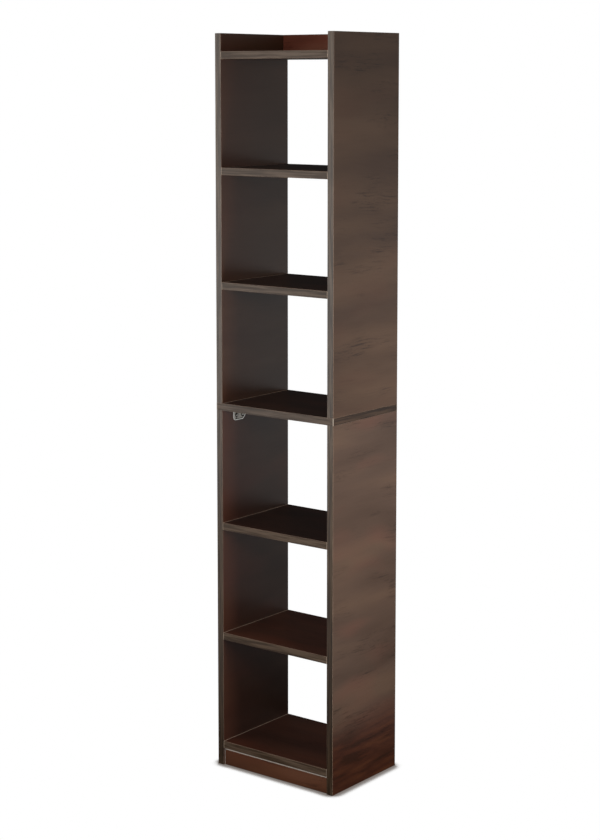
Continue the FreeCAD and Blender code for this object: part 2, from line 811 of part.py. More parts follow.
for item in doc.Objects:
    if "Invalid" in item.State or "Error" in item.State:
        raise ValueError(f"{item.Label} failed to build: {item.State}")
for node in nodes:
    if node.Shape.isNull() or not node.Shape.isValid():
        raise ValueError(f"{node.Label} has no valid shape")

os.makedirs("parts", exist_ok=True)
for node in nodes:
    node.Shape.exportStep(os.path.join("parts", f"{node.Label}.step"))
    print(f"{node.Label}: {len(node.Shape.Solids)} solids, {node.Shape.Volume:.0f} mm3")
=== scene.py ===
import bmesh
import bpy
import numpy as np
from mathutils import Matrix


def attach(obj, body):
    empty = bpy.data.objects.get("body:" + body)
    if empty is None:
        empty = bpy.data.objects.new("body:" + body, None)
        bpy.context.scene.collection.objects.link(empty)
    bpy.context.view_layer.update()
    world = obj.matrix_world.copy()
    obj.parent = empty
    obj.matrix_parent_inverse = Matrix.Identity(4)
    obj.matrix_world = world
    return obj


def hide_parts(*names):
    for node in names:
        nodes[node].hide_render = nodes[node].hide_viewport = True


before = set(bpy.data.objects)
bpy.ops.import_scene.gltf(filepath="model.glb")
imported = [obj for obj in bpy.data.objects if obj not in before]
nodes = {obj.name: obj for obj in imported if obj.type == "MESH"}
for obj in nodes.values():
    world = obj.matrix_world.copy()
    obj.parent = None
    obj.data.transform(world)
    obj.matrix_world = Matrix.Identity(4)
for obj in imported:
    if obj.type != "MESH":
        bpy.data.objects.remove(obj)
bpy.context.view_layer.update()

# Side panels: 18 mm particle board pressed with a dark espresso foil, cut square and bored on a
# line. The printed grain runs from front to back, across the tall panels, and is wavy and faint.
# The lower pair are of a lighter, redder sheet, and the inner faces are redder and plainer.

board, half_width = 0.018, 0.1775
panel_middle = half_width - board / 2


def linear(code):
    """An sRGB hex colour as linear RGBA: the sRGB curve undone on each channel."""
    part = np.array([int(code[i:i + 2], 16) for i in (1, 3, 5)]) / 255
    return (*np.where(part <= 0.04045, part / 12.92, ((part + 0.055) / 1.055) ** 2.4), 1.0)


def add_node(tree, kind, inputs=(), stops=(), **settings):
    """A shader node. Settings are its own properties; an input takes a value or an output.

    stops are those of a colour ramp, as (place, hex colour).
    """
    node = tree.nodes.new(kind)
    for name, setting in settings.items():
        setattr(node, name, setting)
    for key, source in dict(inputs).items():
        if isinstance(source, bpy.types.NodeSocket):
            tree.links.new(source, node.inputs[key])
        else:
            node.inputs[key].default_value = source
    points = node.color_ramp.elements if stops else ()
    while len(points) < len(stops):
        points.new(0.5)
    for point, (place, code) in zip(points, stops):
        point.position, point.color = place, linear(code)
    return node


def new_material(name):
    """An empty node material with its tree and output node."""
    material = bpy.data.materials.new(name)
    material.use_nodes = True
    material.node_tree.nodes.clear()
    return material, material.node_tree, add_node(material.node_tree, "ShaderNodeOutputMaterial")


def dress(material, *names):
    """Puts one material on the named CAD nodes."""
    for name in names:
        data = nodes[name].data
        data.materials.clear()
        data.materials.append(material)


def espresso_foil(name, grain_axis, tones, roughness, gloss_level=0.5, blush_share=0.5, foot_shade=None,
                  inner=None, painted_highlight=(), highlight_tone="#e4cdb8"):
    """Foil printed as fine-grained wood, under a satin melamine skin.

    Figure, blush, strokes and pores are noise drawn out along one axis, after the coordinates are
    moved across the grain by a slow wave. tones are the print's dark, middle, light and red, and
    blush_share is the most of the red. foot_shade is the height below which the colour turns to a
    dark red with black stripes: painted shade near the floor, over stripes in the print. inner
    holds a half width, a tone and a share: inside that width the sheet leans to the tone, by the
    share in front and a quarter of it behind, and has fainter strokes and less of the painted
    shade at the foot. painted_highlight holds places along an axis, as (axis, distance), past
    which a pale line shows in its own tone on both sides of the middle: a painted highlight.
    """
    material, tree, output = new_material(name)
    place = add_node(tree, "ShaderNodeTexCoord").outputs["Object"]

    # The whole figure wanders across the grain by some 7 mm over a quarter of a metre.
    wave = add_node(tree, "ShaderNodeTexNoise", {"Vector": place, "Scale": 4.0, "Detail": 2.5})
    shift = add_node(tree, "ShaderNodeVectorMath", {0: wave.outputs["Color"], 1: (0.5, 0.5, 0.5)},
                     operation="SUBTRACT")
    wander = [0.035] * 3
    wander[grain_axis] = 0.0
    bent = add_node(tree, "ShaderNodeVectorMath",
                    {0: shift.outputs[0], 1: tuple(wander), 2: place}, operation="MULTIPLY_ADD")

    def drawn_out(across, along, detail, rough, seed):
        """Noise whose grains are this wide and this long, in metres."""
        scale = [1 / across] * 3
        scale[grain_axis] = 1 / along
        spread = add_node(tree, "ShaderNodeVectorMath",
                          {0: bent.outputs[0], 1: tuple(scale), 2: (seed, seed, seed)},
                          operation="MULTIPLY_ADD")
        return add_node(tree, "ShaderNodeTexNoise", {
            "Vector": spread.outputs[0], "Scale": 1.0, "Detail": detail,
            "Roughness": rough}).outputs["Fac"]

    # The figure is a hand wide, blush and clusters three fingers, strokes 4 mm and pores 1.4 mm.
    figure = drawn_out(0.085, 0.5, 2.0, 0.5, 0.0)
    blush = drawn_out(0.075, 0.22, 1.0, 0.5, 7.0)
    clusters = drawn_out(0.05, 0.16, 1.0, 0.5, 13.0)
    strokes = drawn_out(0.0042, 0.07, 2.0, 0.55, 3.0)
    pores = drawn_out(0.0014, 0.016, 2.0, 0.5, 5.0)

    colour = add_node(tree, "ShaderNodeValToRGB", {"Fac": figure}, stops=[
        (0.32, tones[0]), (0.5, tones[1]), (0.68, tones[2])]).outputs["Color"]
    red_share = add_node(tree, "ShaderNodeMapRange", {
        "Value": blush, "From Min": 0.5, "From Max": 0.75, "To Min": 0.0,
        "To Max": blush_share})
    colour = add_node(tree, "ShaderNodeMix", {
        0: red_share.outputs[0], 6: colour, 7: linear(tones[3])}, data_type="RGBA").outputs[2]
    loudness = 1.0
    if inner:
        parts = add_node(tree, "ShaderNodeSeparateXYZ", {0: place})
        side = add_node(tree, "ShaderNodeMath", {0: parts.outputs["X"]}, operation="ABSOLUTE")
        inside = add_node(tree, "ShaderNodeMath", {0: side.outputs[0], 1: inner[0]},
                          operation="LESS_THAN").outputs[0]
        lean = add_node(tree, "ShaderNodeMapRange", {
            "Value": parts.outputs["Y"], "From Min": -0.1, "From Max": 0.04,
            "To Min": inner[2], "To Max": inner[2] / 4})
        lean = add_node(tree, "ShaderNodeMath", {0: lean.outputs[0], 1: inside},
                        operation="MULTIPLY")
        colour = add_node(tree, "ShaderNodeMix", {
            0: lean.outputs[0], 6: colour, 7: linear(inner[1])}, data_type="RGBA").outputs[2]
        loudness = add_node(tree, "ShaderNodeMapRange", {
            "Value": inside, "To Min": 1.0, "To Max": 0.12}).outputs[0]
    # Below the foot height the colour turns to a dark red with black stripes: painted shade near the
    # floor, over stripes in the print.
    if foot_shade:
        parts = add_node(tree, "ShaderNodeSeparateXYZ", {0: bent.outputs[0]})
        foot_shade_share = add_node(tree, "ShaderNodeMapRange", {
            "Value": parts.outputs["Z"], "From Min": 0.6 * foot_shade, "From Max": foot_shade,
            "To Min": 0.92, "To Max": 0.0})
        foot_shade_share = add_node(tree, "ShaderNodeMath", {0: foot_shade_share.outputs[0], 1: loudness},
                       operation="MULTIPLY")
        stripes = add_node(tree, "ShaderNodeValToRGB", {
            "Fac": drawn_out(0.016, 0.13, 2.0, 0.55, 17.0)}, stops=[
            (0.36, "#341d14"), (0.5, "#45251a"), (0.68, "#54301f")]).outputs["Color"]
        colour = add_node(tree, "ShaderNodeMix", {
            0: foot_shade_share.outputs[0], 6: colour, 7: stripes}, data_type="RGBA").outputs[2]
    # Strokes and pores stand in loose clusters, and between them the print is nearly plain.
    share = add_node(tree, "ShaderNodeMapRange", {
        "Value": clusters, "From Min": 0.5, "From Max": 0.66, "To Min": 0.1, "To Max": 1.0})
    share = add_node(tree, "ShaderNodeMath", {0: share.outputs[0], 1: loudness},
                     operation="MULTIPLY")
    for grain, stops in ((strokes, [(0.32, "#aba097"), (0.43, "#eeebe8"), (0.6, "#ffffff")]),
                         (pores, [(0.3, "#b4aba5"), (0.4, "#ffffff")])):
        tint = add_node(tree, "ShaderNodeValToRGB", {"Fac": grain}, stops=stops)
        colour = add_node(tree, "ShaderNodeMix", {
            0: share.outputs[0], 6: colour, 7: tint.outputs["Color"]},
            data_type="RGBA", blend_type="MULTIPLY").outputs[2]

    highlight_wobble = 0.0012
    for axis, distance in painted_highlight:
        # A pale line is painted past this place, drawn ragged like chipped foil: a painted
        # highlight.
        parts = add_node(tree, "ShaderNodeSeparateXYZ", {0: place})
        side = add_node(tree, "ShaderNodeMath", {0: parts.outputs[axis]}, operation="ABSOLUTE")
        wobble_noise = add_node(tree, "ShaderNodeTexNoise", {"Vector": place, "Scale": 260.0})
        ragged = add_node(tree, "ShaderNodeMath", {
            0: wobble_noise.outputs["Fac"], 1: highlight_wobble, 2: side.outputs[0]},
            operation="MULTIPLY_ADD")
        edge = add_node(tree, "ShaderNodeMath", {
            0: ragged.outputs[0], 1: distance + highlight_wobble / 2}, operation="GREATER_THAN")
        colour = add_node(tree, "ShaderNodeMix", {
            0: edge.outputs[0], 6: colour, 7: linear(highlight_tone)}, data_type="RGBA").outputs[2]

    # The dark strokes are a little duller than the ground, and the pores are pressed in. The
    # roughness stays over 0.28: where it wanders lower, the render's noise filter draws false lines.
    gloss = add_node(tree, "ShaderNodeMapRange", {
        "Value": strokes, "From Min": 0.3, "From Max": 0.7,
        "To Min": roughness + 0.025, "To Max": roughness - 0.02})
    relief = add_node(tree, "ShaderNodeBump", {
        "Height": pores, "Distance": 0.00006, "Strength": 0.3})
    skin = add_node(tree, "ShaderNodeBsdfPrincipled", {
        "Base Color": colour, "Roughness": gloss.outputs[0], "Normal": relief.outputs[0],
        "IOR": 1.5, "Specular IOR Level": gloss_level})
    tree.links.new(skin.outputs[0], output.inputs["Surface"])
    return material


# A satin skin: the room lies over the print as a soft grey sheen, and the strokes show as faint
# shadows in it.
upper_foil = espresso_foil("espresso_foil_on_upper_sides", 1,
                           ("#442f21", "#4f3929", "#594231", "#613c2b"), 0.31,
                           blush_share=0.2, inner=(panel_middle, "#6a3826", 0.35))
dress(upper_foil, "upper_left_side", "upper_right_side")
# Near the floor the colour also turns to a dark red with black stripes: painted shade near the
# floor, over stripes in the print.
lower_foil = espresso_foil("espresso_foil_on_lower_sides", 1,
                           ("#483529", "#544034", "#604a3b", "#704437"), 0.31,
                           blush_share=0.4, foot_shade=0.18, inner=(panel_middle, "#643425", 0.6))
dress(lower_foil, "lower_left_side", "lower_right_side")

# Shelves and the middle board: the same board, with the grain along the length. A shelf butts
# against the sides, and pale hairlines at its ends are painted highlights. The two lowest are of
# a redder sheet.

inner_face = half_width - board
# Pale lines at the shelves' ends, where they meet the sides, are painted highlights.
shelf_end_highlights = (("X", inner_face - 0.0019),)
# Near black under a satin skin, with hardly any print to see.
deck_foil = espresso_foil("espresso_foil_on_shelves", 0,
                          ("#281710", "#331e16", "#3f261c", "#452217"), 0.36, painted_highlight=shelf_end_highlights)
shelf_names = ["bottom_shelf", "lower_shelf_1", "lower_shelf_2",
               "upper_shelf_1", "upper_shelf_2", "top_shelf"]
dress(deck_foil, "middle_board", *shelf_names[2:])
# A deep red brown, which reads warmer than the shelves above.
low_foil = espresso_foil("espresso_foil_on_low_shelves", 0,
                         ("#3e2217", "#4d2c1f", "#5c3727", "#61301f"), 0.36, painted_highlight=shelf_end_highlights)
dress(low_foil, *shelf_names[:2])

# Kick board and top rail: narrow rippings of a redder sheet of the same foil, grain lengthwise,
# doweled between the sides. The rail's sheet is the duller one.

kick_top = 0.043
# Reddish and satin. A near white line along its top, under the bottom shelf, and pale lines at
# its ends are painted highlights.
kick_foil = espresso_foil("espresso_foil_on_kick_board", 0,
                          ("#5f3a27", "#734832", "#865841", "#7c4430"), 0.34,
                          painted_highlight=(("X", inner_face - 0.0015), ("Z", kick_top - 0.0043)),
                          highlight_tone="#f7ece2")
dress(kick_foil, "kick_board")
# Reddish and nearly matt, so that it keeps its colour against the light.
rail_foil = espresso_foil("espresso_foil_on_rail", 0,
                          ("#552a1c", "#7c4636", "#9c644f", "#8f4c38"), 0.5, gloss_level=0.1)
dress(rail_foil, "top_back_rail")

# Edging: 1 mm plastic strip with a printed taupe grain, glued on and trimmed. Its long corners
# are painted paler than the printed face: partly the trimmer's scrape, partly a painted highlight.


def printed_edging(name, length_axis, tones=("#3f3023", "#514030", "#62503f"), gloss_level=0.47,
                   highlight_end=None, highlight_tone=None):
    """Strip whose fine streaks run along one axis; faces at a slant are painted paler corners.

    A face lies at a slant where the largest part of its normal is under 0.85; its paler colour is
    partly the trimmer's scrape and partly a painted highlight. highlight_end is the half width
    past which the strip's end shows in its own tone, a painted highlight.
    """
    material, tree, output = new_material(name)
    place = add_node(tree, "ShaderNodeTexCoord").outputs["Object"]

    def drawn_out(across, along):
        """Noise whose grains are this wide and this long, in metres."""
        scale = [1 / across] * 3
        scale[length_axis] = 1 / along
        spread = add_node(tree, "ShaderNodeVectorMath", {0: place, 1: tuple(scale)},
                          operation="MULTIPLY")
        return add_node(tree, "ShaderNodeTexNoise", {
            "Vector": spread.outputs[0], "Scale": 1.0, "Detail": 3.0}).outputs["Fac"]

    lines = drawn_out(0.0042, 0.1)
    drift = drawn_out(0.05, 0.3)
    colour = add_node(tree, "ShaderNodeValToRGB", {"Fac": lines},
                      stops=list(zip((0.4, 0.5, 0.6), tones))).outputs["Color"]
    tint = add_node(tree, "ShaderNodeValToRGB", {"Fac": drift},
                    stops=[(0.36, "#d3ccc4"), (0.62, "#ffffff")]).outputs["Color"]
    colour = add_node(tree, "ShaderNodeMix", {0: 1.0, 6: colour, 7: tint},
                      data_type="RGBA", blend_type="MULTIPLY").outputs[2]

    # Faces at a slant, the bevelled corners, are painted paler: partly the trimmer's scrape, partly
    # a painted highlight.
    facing = add_node(tree, "ShaderNodeNewGeometry").outputs["True Normal"]
    facing = add_node(tree, "ShaderNodeVectorMath", {0: facing}, operation="ABSOLUTE")
    parts = add_node(tree, "ShaderNodeSeparateXYZ", {0: facing.outputs[0]})
    most = add_node(tree, "ShaderNodeMath", {0: parts.outputs["X"], 1: parts.outputs["Y"]},
                    operation="MAXIMUM")
    most = add_node(tree, "ShaderNodeMath", {0: most.outputs[0], 1: parts.outputs["Z"]},
                    operation="MAXIMUM")
    scrape_and_highlight = add_node(tree, "ShaderNodeMath", {0: most.outputs[0], 1: 0.85},
                       operation="LESS_THAN").outputs[0]
    colour = add_node(tree, "ShaderNodeMix", {
        0: scrape_and_highlight, 6: colour, 7: linear("#8c7666")}, data_type="RGBA").outputs[2]
    # Past the end's half width the strip's end is painted pale: a painted highlight on its corner.
    if highlight_end:
        parts = add_node(tree, "ShaderNodeSeparateXYZ", {0: place})
        side = add_node(tree, "ShaderNodeMath", {0: parts.outputs["X"]}, operation="ABSOLUTE")
        painted_highlight = add_node(tree, "ShaderNodeMath", {0: side.outputs[0], 1: highlight_end},
                        operation="GREATER_THAN")
        colour = add_node(tree, "ShaderNodeMix", {
            0: painted_highlight.outputs[0], 6: colour, 7: linear(highlight_tone)}, data_type="RGBA").outputs[2]

    gloss = add_node(tree, "ShaderNodeMapRange", {
        "Value": lines, "From Min": 0.3, "From Max": 0.7, "To Min": 0.36, "To Max": 0.28})
    relief = add_node(tree, "ShaderNodeBump", {
        "Height": lines, "Distance": 0.00006, "Strength": 0.4})
    skin = add_node(tree, "ShaderNodeBsdfPrincipled", {
        "Base Color": colour, "Roughness": gloss.outputs[0], "Normal": relief.outputs[0],
        "IOR": 1.5, "Specular IOR Level": gloss_level})
    tree.links.new(skin.outputs[0], output.inputs["Surface"])
    return material


# Dark and fairly glossy: the uprights mirror the softbox above and the dim floor below.
upright_edging = printed_edging("printed_edging_upright", 2)
dress(upright_edging, *[f"{tower}_{side}_side_edging" for tower in ("lower", "upper")
                        for side in ("left", "right")])
# The level strips are of paler lots with less gloss, so their print stays even from end to end,
# and a pale tick where they stop is a painted highlight.
level_edging = printed_edging("printed_edging_level", 0, ("#48392c", "#5c4a3c", "#6e5c4d"),
                              gloss_level=0.31, highlight_end=half_width - 0.0013, highlight_tone="#d8cabb")
dress(level_edging, "middle_board_edging")
# The other level strips end in a pale tick as well: a painted highlight.
strip_end = inner_face - 0.0008
upper_level_edging = printed_edging("printed_edging_between_upper_sides", 0,
                             ("#4b3b2e", "#5f4e40", "#715f50"), gloss_level=0.25,
                             highlight_end=strip_end, highlight_tone="#cdb9a6")
dress(upper_level_edging, "top_back_rail_edging", *[f"{name}_edging" for name in shelf_names[3:]])
low_edging = printed_edging("printed_edging_between_lower_sides", 0,
                            ("#4f3f32", "#655445", "#7a6757"), gloss_level=0.25,
                            highlight_end=strip_end, highlight_tone="#cdb9a6")
dress(low_edging, "kick_board_edging", *[f"{name}_edging" for name in shelf_names[:3]])
# The darkest lot, on the middle board's ends: a dark line between the towers.
dark_edging = printed_edging("printed_edging_dark", 1, ("#2e221b", "#3c2e24", "#4a392d"),
                             gloss_level=0.3)
dress(dark_edging, "middle_board_end_edging")
# The panels' ends have the uprights' print, laid from front to back.
end_edging = printed_edging("printed_edging_ends", 1)
dress(end_edging, *[f"{tower}_{side}_side_end_edging" for tower in ("lower", "upper")
                    for side in ("left", "right")])

# Angle brackets: sheet steel pressed to a rounded rim, a sunk field, a small dent and a groove
# round each screw, then bent square and zinc plated in a barrel. Its colour is painted bright on
# the rims, a painted highlight, and dark in the hollows, painted shade. Each is screwed to a lower
# panel and up into the middle board.

bracket_length, bracket_leg, sheet = 0.048, 0.031, 0.0022
corner_radius, corner_cut, outer_bend = 0.007, 0.012, 0.0042
half_bend = outer_bend * np.pi / 4
developed = half_bend + bracket_leg - outer_bend
hole_radius, hole_along, hole_drop = 0.0021, (0.013, 0.035), 0.018
hole_out = half_bend + hole_drop - outer_bend
shell_reach, inner_shell = 0.0062, 0.00195
rim_round, rim_width, field_start, field_slope, field_depth = 0.0009, 0.003, 0.0046, 0.0007, 0.0008
groove_radius, groove_width, groove_depth = 0.0048, 0.0008, 0.0006
dent_along, dent_out, dent_width, dent_depth = 0.012, hole_out + 0.0083, 0.0011, 0.0009


def lines_with(start, stop, step, fixed):
    """Grid lines from start to stop about a step apart, closer near both ends, plus fixed ones.

    A line that would fall within 0.3 of a step from a fixed one is left out.
    """
    ends = np.array([0.0, 0.00012, 0.0003, 0.00055, 0.0009, 0.0014, 0.0022, 0.0028, 0.0034])
    first, last = start + 0.004, stop - 0.0035
    middle = np.arange(first, last, step)
    fixed = np.array(fixed)
    middle = middle[np.abs(middle[:, None] - fixed).min(axis=1) > 0.3 * step]
    return np.unique(np.concatenate([start + ends, stop - ends, middle, fixed]))


def press(along, out):
    """Where the sheet's outline falls, and its thickness there, from flat grid coordinates.

    out is measured from the middle of the bend on both sides. The outline is a rectangle with one
    corner rounded to 7 mm and the other cut off by 12 mm: each row is drawn in to meet it. The
    thickness is 2.2 mm on the rim, falls to 0 in a quarter round at the edge, and to 1.4 mm in
    the field, less a groove round each hole and a small round dent. Near a hole, square shells of
    points are drawn in to circles, and the innermost one comes down to the board.
    highlight_and_shade is 1 on the rim and falls with the depth below it: it carries a painted
    highlight on the rims and painted shade in the hollows.
    """
    side, reach = np.sign(out), np.abs(out)
    rounded = corner_radius - np.minimum(along, corner_radius)
    limit = developed - corner_radius + np.sqrt(corner_radius ** 2 - rounded ** 2)
    limit -= np.maximum(along - (bracket_length - corner_cut), 0)
    # Only what lies beyond this reach is drawn in, so that the holes stay in place.
    full_until, full_reach = 0.0385, 0.020
    keep = np.interp(along, (full_until, bracket_length), (full_reach, half_bend))
    drawn = keep + (reach - keep) * (limit - keep) / (developed - keep)
    reach = np.where(reach > keep, drawn, reach)

    for centre in hole_along:
        x, y = along - centre, reach - hole_out
        shell, radius = np.maximum(np.abs(x), np.abs(y)), np.hypot(x, y)
        share = np.clip((shell_reach - shell) / (shell_reach - hole_radius), 0, 1)
        pull = 1 - share + share * shell / np.maximum(radius, 1e-9)
        along, reach = centre + x * pull, hole_out + y * pull

    cut = (bracket_length - along + developed - reach - corner_cut) / np.sqrt(2)
    corner = np.where((along < corner_radius) & (reach > developed - corner_radius),
                      corner_radius - np.hypot(corner_radius - along,
                                               reach - developed + corner_radius), 1.0)
    inset = np.minimum.reduce([along, bracket_length - along, developed - reach, cut, corner])
    edge = np.clip(inset / rim_round, 0, 1)
    field = (np.clip((inset - rim_width) / field_slope, 0, 1)
             * np.clip((reach - field_start) / field_slope, 0, 1))
    thick = sheet - field_depth * field * field * (3 - 2 * field)
    hair = 0.00003
    for centre in hole_along:
        radius = np.hypot(along - centre, reach - hole_out)
        thick -= groove_depth * np.exp(-((radius - groove_radius) / groove_width) ** 2)
        thick = np.where(radius < hole_radius - hair, 0, thick)
    dent = np.hypot(along - dent_along, reach - dent_out)
    thick -= dent_depth * np.exp(-(dent / dent_width) ** 2)
    # A mask for the painted colour: 1 on the rim, a painted highlight, and falling with the depth
    # below it, painted shade in the hollows.
    painted_shade_depth = 0.0018
    highlight_and_shade = np.clip((thick - sheet + painted_shade_depth) / painted_shade_depth, 0, 1)
    return along, side * reach, thick * np.sqrt(1 - (1 - edge) ** 2), highlight_and_shade


def bend_sheet(out, thick):
    """Distance from the side panel and from the board of a point on the bent sheet.

    The sheet's back runs down the panel, round a quarter circle of 4.2 mm and along the board,
    and the thickness is laid off square to it.
    """
    turn = np.clip(out / half_bend, -1, 1) * np.pi / 4 + np.pi / 4
    radius = outer_bend - thick
    run = np.maximum(np.abs(out) - half_bend, 0)
    from_panel = outer_bend - radius * np.cos(turn) + np.where(out > 0, run, 0)
    from_board = outer_bend - radius * np.sin(turn) + np.where(out < 0, run, 0)
    return from_panel, from_board


def new_piece(name, points, quads, material, slot, *replaced, highlight_and_shade=None):
    """A closed mesh from points and quads: doubles merged, loose ends gone, faces outwards."""
    mesh = bpy.data.meshes.new(name)
    mesh.from_pydata(points, [], quads)
    # Keeps on the points the mask for the painted highlight on rims and painted shade in hollows.
    if highlight_and_shade is not None:
        mesh.attributes.new("highlight_and_shade", "FLOAT", "POINT").data.foreach_set("value", highlight_and_shade)
    shape = bmesh.new()
    shape.from_mesh(mesh)
    hair = 0.000004
    bmesh.ops.remove_doubles(shape, verts=shape.verts, dist=hair)
    bmesh.ops.dissolve_degenerate(shape, edges=shape.edges, dist=hair)
    bmesh.ops.recalc_face_normals(shape, faces=shape.faces)
    shape.to_mesh(mesh)
    shape.free()
    mesh.polygons.foreach_set("use_smooth", np.ones(len(mesh.polygons), bool))
    mesh.set_sharp_from_angle(angle=np.radians(50))
    mesh.materials.append(material)
    piece = bpy.data.objects.new(name, mesh)
    bpy.context.collection.objects.link(piece)
    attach(piece, "root")
    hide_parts(*replaced)


def grid_quads(rows, columns, around=False):
    """Corner numbers of the quads of a grid of points; around joins the last column to the first."""
    row, column = np.meshgrid(np.arange(rows - 1), np.arange(columns - (not around)), indexing="ij")
    beside = (column + 1) % columns
    return np.stack([row * columns + column, row * columns + beside,
                     (row + 1) * columns + beside, (row + 1) * columns + column],
                    axis=-1).reshape(-1, 4)


def zinc_plate(name, code, roughness, painted_rims=False):
    """Metal with a crystalline bloom: the roughness wanders in spots a few millimetres wide."""
    material, tree, output = new_material(name)
    place = add_node(tree, "ShaderNodeTexCoord").outputs["Object"]
    bloom = add_node(tree, "ShaderNodeTexNoise", {"Vector": place, "Scale": 300.0, "Detail": 3.0})
    gloss = add_node(tree, "ShaderNodeMapRange", {
        "Value": bloom.outputs["Fac"], "From Min": 0.3, "From Max": 0.7,
        "To Min": roughness - 0.06, "To Max": roughness + 0.06})
    colour = add_node(tree, "ShaderNodeValToRGB", {"Fac": bloom.outputs["Fac"]},
                      stops=[(0.3, code), (0.7, "#f0eeea")]).outputs["Color"]
    if painted_rims:
        # The colour falls with the depth below the rim: white on the rim, a painted highlight, grey
        # in the field and near black in the grooves, painted shade.
        highlight_and_shade = add_node(tree, "ShaderNodeAttribute", attribute_name="highlight_and_shade")
        highlight_and_shade_tint = add_node(tree, "ShaderNodeValToRGB", {"Fac": highlight_and_shade.outputs["Fac"]}, stops=[
            (0.25, "#1f1d1b"), (0.5, "#918d88"), (0.95, "#ffffff")]).outputs["Color"]
        colour = add_node(tree, "ShaderNodeMix", {0: 1.0, 6: colour, 7: highlight_and_shade_tint},
                          data_type="RGBA", blend_type="MULTIPLY").outputs[2]
    relief = add_node(tree, "ShaderNodeBump", {
        "Height": bloom.outputs["Fac"], "Distance": 0.00005, "Strength": 0.3})
    metal = add_node(tree, "ShaderNodeBsdfPrincipled", {
        "Base Color": colour, "Roughness": gloss.outputs[0], "Metallic": 1.0,
        "Normal": relief.outputs[0]})
    tree.links.new(metal.outputs[0], output.inputs["Surface"])
    return material


# Bright metal that mirrors the room in blurred spots, painted white on its rims and black in its
# grooves: painted highlight and painted shade.
bracket_zinc = zinc_plate("bright_zinc_on_pressed_steel", "#dcdad5", 0.2, painted_rims=True)

grid_step = 0.0009
hole_steps = (-hole_radius, hole_radius, -inner_shell, inner_shell)
around_holes = [place + step for place in hole_along for step in hole_steps]
out_holes = [hole_out + step for step in hole_steps]
along_lines = lines_with(0, bracket_length, grid_step, around_holes)
out_lines = lines_with(-developed, developed, grid_step, out_holes + [-place for place in out_holes])
along, out = np.meshgrid(along_lines, out_lines, indexing="ij")
quads = grid_quads(*along.shape)
middle_along = along.reshape(-1)[quads].mean(axis=1)
middle_out = np.abs(out.reshape(-1)[quads].mean(axis=1))
open_hole = np.zeros(len(quads), bool)
for centre in hole_along:
    open_hole |= np.maximum(abs(middle_along - centre), abs(middle_out - hole_out)) < inner_shell
quads = quads[~open_hole]
along, out, thick, highlight_and_shade = (values.reshape(-1) for values in press(along, out))
front_face = (along, *bend_sheet(out, thick))
back_face = (along, *bend_sheet(out, np.zeros_like(thick)))
along, from_panel, from_board = np.concatenate([front_face, back_face], axis=1)
quads = np.concatenate([quads, quads[:, ::-1] + len(thick)])
used = np.unique(quads)
renumber = np.zeros(len(along), int)
renumber[used] = np.arange(len(used))
half_depth, setback, joint_level = 0.129, 0.040, 0.891
bracket_start = half_depth - setback
for end, y_sign in (("front", -1), ("rear", 1)):
    for side, x_sign in (("left", -1), ("right", 1)):
        points = np.stack([x_sign * (inner_face - from_panel), y_sign * (bracket_start - along),
                           joint_level - from_board], axis=1)[used]
        new_piece(f"pressed_{end}_{side}_bracket", points, renumber[quads], bracket_zinc,
                  "zinc_plated_bracket", f"{end}_{side}_bracket",
                  highlight_and_shade=np.concatenate([highlight_and_shade, highlight_and_shade])[used])

# Bracket screws: pan heads with a cross recess, cold headed and thread rolled, bright zinc plate.
# Each stands with its cross at another angle, as the driver left it.


def cross_recess(x, y, width, length):
    """A cross driver's share of its full depth: two arms, steep at the sides and sloped at the ends.

    Each arm's share is the product of the distance inside its sides over a sixth of its width and
    the distance inside its ends over a fifth of its length; the cross is the greater of the two.
    """
    def arm(near, far):
        return (np.clip((width / 2 - abs(near)) / (width / 6), 0, 1)
                * np.clip((length / 2 - abs(far)) / (length / 5), 0, 1))

    return np.maximum(arm(x, y), arm(y, x))


def screw_surface(rows, turns):
    """A screw along +z from its point to its head, as points of a grid of turns by rows.

    The radius is the core's 1.45 mm plus a rolled thread, 0.35 mm high at a pitch of 1.4 mm, which
    a sharp wave of height less turn gives. The head is a flat dome, 2.2 mm high at its middle,
    less a cross: two arms 1.1 mm wide and 4 mm long that get deeper towards the middle.
    """
    core, thread, pitch, thread_end = 0.00145, 0.00035, 0.0014, 0.0005
    tip, taper, seat = 0.0126, 0.0035, sheet - field_depth
    turn = np.linspace(0, 2 * np.pi, turns, endpoint=False)
    height = np.linspace(-tip, seat, rows)
    level, angle = np.meshgrid(height, turn, indexing="ij")
    wave = np.abs((level / pitch - angle / (2 * np.pi)) % 1 - 0.5) * 2
    point = np.clip((level + tip) / taper, 0, 1)
    radius = (core + thread * wave ** 2 * (level < thread_end)) * point
    shank = np.stack([radius * np.cos(angle), radius * np.sin(angle), level], axis=-1)

    # The head's rows: its underside from 0.4 of its radius out, its edge, and the dome in to the
    # middle, closer together near the edge.
    head_radius, head_edge, head_rise, cross_depth = 0.0037, 0.0006, 0.0016, 0.0014
    across = head_radius * np.concatenate([[0.4], np.ones(2), 1 - np.linspace(0, 1, 26)[1:] ** 1.2])
    radius, angle = np.meshgrid(across, turn, indexing="ij")
    dome = head_edge + head_rise * np.sqrt(np.clip(1 - (radius / head_radius) ** 3, 0, 1))
    x, y = radius * np.cos(angle), radius * np.sin(angle)
    dome -= cross_depth * cross_recess(x, y, 0.0011, 0.004)
    dome[:2] = 0
    head = np.stack([x, y, seat + dome], axis=-1)
    return np.concatenate([shank, head])


def repeat(surface, places):
    """Points and quads of one surface set at each place, given as (position, turning matrix)."""
    rows, turns = surface.shape[:2]
    quads = grid_quads(rows, turns, around=True)
    flat = surface.reshape(-1, 3)
    points = [flat @ np.array(matrix).T + np.array(position) for position, matrix in places]
    return (np.concatenate(points),
            np.concatenate([quads + index * len(flat) for index in range(len(places))]))


